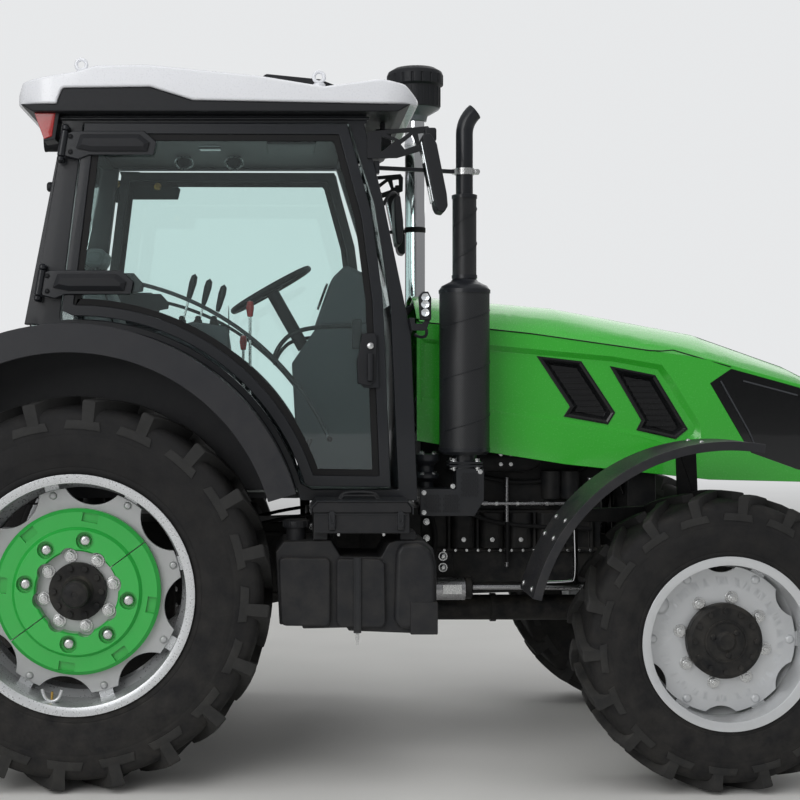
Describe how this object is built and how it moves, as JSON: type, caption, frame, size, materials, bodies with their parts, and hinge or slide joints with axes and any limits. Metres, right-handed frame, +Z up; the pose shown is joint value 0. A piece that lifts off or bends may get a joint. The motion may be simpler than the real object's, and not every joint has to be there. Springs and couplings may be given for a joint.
{
  "type": "farm tractor with cab",
  "caption": "Four-wheel-drive farm tractor with a glazed cab, mudguards, rear three-point linkage, hinged hood and doors, and steered front wheels.",
  "frame": {"origin": "on the ground, under the middle of the tractor's length and width", "axes": "+X forwards, +Y to the driver's left, +Z up"},
  "size_m": [4.182, 2.068, 3.04],
  "materials": {
    "black_paint": "satin",
    "black_plastic": "matte",
    "cast_iron": "painted",
    "chrome": "polished",
    "dark_lens": "polished",
    "green_paint": "gloss",
    "pale_roof": "gloss",
    "red_lens": "clear",
    "seat_fabric": "woven",
    "silver_paint": "satin",
    "steel": "machined",
    "tinted_glass": "clear",
    "tyre_rubber": "matte"
  },
  "bodies": {
    "root": {"air_intake": "chrome", "cab_frame": "black_paint", "cab_glass": "tinted_glass", "cab_steps": "black_paint", "console": "black_plastic", "drawbar": "cast_iron", "drive_shaft": "black_paint", "engine": "cast_iron", "engine_pipes": "chrome", "exhaust": "black_paint", "front_axle": "cast_iron", "front_frame": "cast_iron", "fuel_tank": "black_plastic", "lamps": "black_plastic", "mirrors": "black_plastic", "precleaner": "black_plastic", "rear_fenders": "black_plastic", "roof_cap": "pale_roof", "roof_trim": "black_plastic", "seat": "seat_fabric", "steering_cylinder": "black_paint", "steering_wheel": "black_plastic", "tail_lamps": "red_lens", "tool_box": "black_plastic", "transmission": "cast_iron"},
    "rear_wheel_right": {"rear_tyre_right": "tyre_rubber", "rear_rim_right": "silver_paint", "rear_wheel_disc_right": "silver_paint", "wheel_weight_right": "green_paint", "rear_hub_right": "black_paint"},
    "front_wheel_right": {"front_tyre_right": "tyre_rubber", "front_rim_right": "silver_paint", "front_wheel_disc_right": "silver_paint", "front_hub_right": "black_paint"},
    "steer_right": {"knuckle_right": "cast_iron", "front_fender_right": "black_plastic"},
    "door_right": {"door_frame_right": "black_paint", "door_glass_right": "tinted_glass"},
    "rear_wheel_left": {"rear_tyre_left": "tyre_rubber", "rear_rim_left": "silver_paint", "rear_wheel_disc_left": "silver_paint", "wheel_weight_left": "green_paint", "rear_hub_left": "black_paint"},
    "front_wheel_left": {"front_tyre_left": "tyre_rubber", "front_rim_left": "silver_paint", "front_wheel_disc_left": "silver_paint", "front_hub_left": "black_paint"},
    "steer_left": {"knuckle_left": "cast_iron", "front_fender_left": "black_plastic"},
    "door_left": {"door_frame_left": "black_paint", "door_glass_left": "tinted_glass"},
    "hood": {"hood_panels": "green_paint", "hood_grilles": "black_plastic", "headlamps": "dark_lens"},
    "steering_rod": {"steering_rod": "chrome"},
    "lift_arms": {"lift_arms": "cast_iron"},
    "lift_rods": {"lift_rods": "steel"},
    "lower_links": {"lower_links": "cast_iron"},
    "top_link": {"top_link": "steel"},
    "pto_shaft": {"pto_shaft": "steel"}
  },
  "joints": [
    {"name": "rear_spin_right", "type": "hinge", "parent": "root", "child": "rear_wheel_right", "pos_m": [-1.159, -0.81, 0.75], "axis": [0, 1, 0], "continuous": true},
    {"name": "rear_spin_left", "type": "hinge", "parent": "root", "child": "rear_wheel_left", "pos_m": [-1.159, 0.81, 0.75], "axis": [0, 1, 0], "continuous": true},
    {"name": "steer_right", "type": "hinge", "parent": "root", "child": "steer_right", "pos_m": [1.311, -0.64, 0.568], "axis": [0, 0, 1], "range_deg": [-38, 38]},
    {"name": "front_spin_right", "type": "hinge", "parent": "steer_right", "child": "front_wheel_right", "pos_m": [1.311, -0.86, 0.568], "axis": [0, 1, 0], "continuous": true},
    {"name": "steer_left", "type": "hinge", "parent": "root", "child": "steer_left", "pos_m": [1.311, 0.64, 0.568], "axis": [0, 0, 1], "range_deg": [-38, 38]},
    {"name": "front_spin_left", "type": "hinge", "parent": "steer_left", "child": "front_wheel_left", "pos_m": [1.311, 0.86, 0.568], "axis": [0, 1, 0], "continuous": true},
    {"name": "steering_rod_slide", "type": "slide", "parent": "root", "child": "steering_rod", "axis": [0, 1, 0], "range_m": [-0.1, 0.1]},
    {"name": "door_right_swing", "type": "hinge", "parent": "root", "child": "door_right", "pos_m": [-1.325, -0.76, 1.945], "axis": [-0.1641, 0, -0.9864], "range_deg": [0, 75]},
    {"name": "door_left_swing", "type": "hinge", "parent": "root", "child": "door_left", "pos_m": [-1.325, 0.76, 1.945], "axis": [0.1641, 0, 0.9864], "range_deg": [0, 75]},
    {"name": "hood_lift", "type": "hinge", "parent": "root", "child": "hood", "pos_m": [0.193, 0, 1.89], "axis": [0, -1, 0], "range_deg": [0, 50]},
    {"name": "lift_arms_turn", "type": "hinge", "parent": "root", "child": "lift_arms", "pos_m": [-1.309, 0, 0.99], "axis": [0, 1, 0], "range_deg": [0, 56.6]},
    {"name": "lower_links_turn", "type": "hinge", "parent": "root", "child": "lower_links", "pos_m": [-1.219, 0, 0.5], "axis": [0, 1, 0], "range_deg": [0, 41.6]},
    {"name": "lift_rods_turn", "type": "hinge", "parent": "lift_arms", "child": "lift_rods", "pos_m": [-1.5907, 0, 0.8383], "axis": [0, 1, 0], "range_deg": [-61.2, 0]},
    {"name": "top_link_turn", "type": "hinge", "parent": "root", "child": "top_link", "pos_m": [-1.421, 0, 0.9], "axis": [0, 1, 0], "range_deg": [-40, 60]},
    {"name": "pto_spin", "type": "hinge", "parent": "root", "child": "pto_shaft", "pos_m": [-1.349, 0, 0.7], "axis": [1, 0, 0], "continuous": true}
  ],
  "couplings": [
    {"joint": "steer_left", "follows": "steer_right", "ratio": 1},
    {"joint": "steering_rod_slide", "follows": "steer_right", "m_per_rad": -0.145},
    {"joint": "lower_links_turn", "follows": "lift_arms_turn", "ratio": 0.7328},
    {"joint": "lift_rods_turn", "follows": "lift_arms_turn", "ratio": -1.0792}
  ]
}
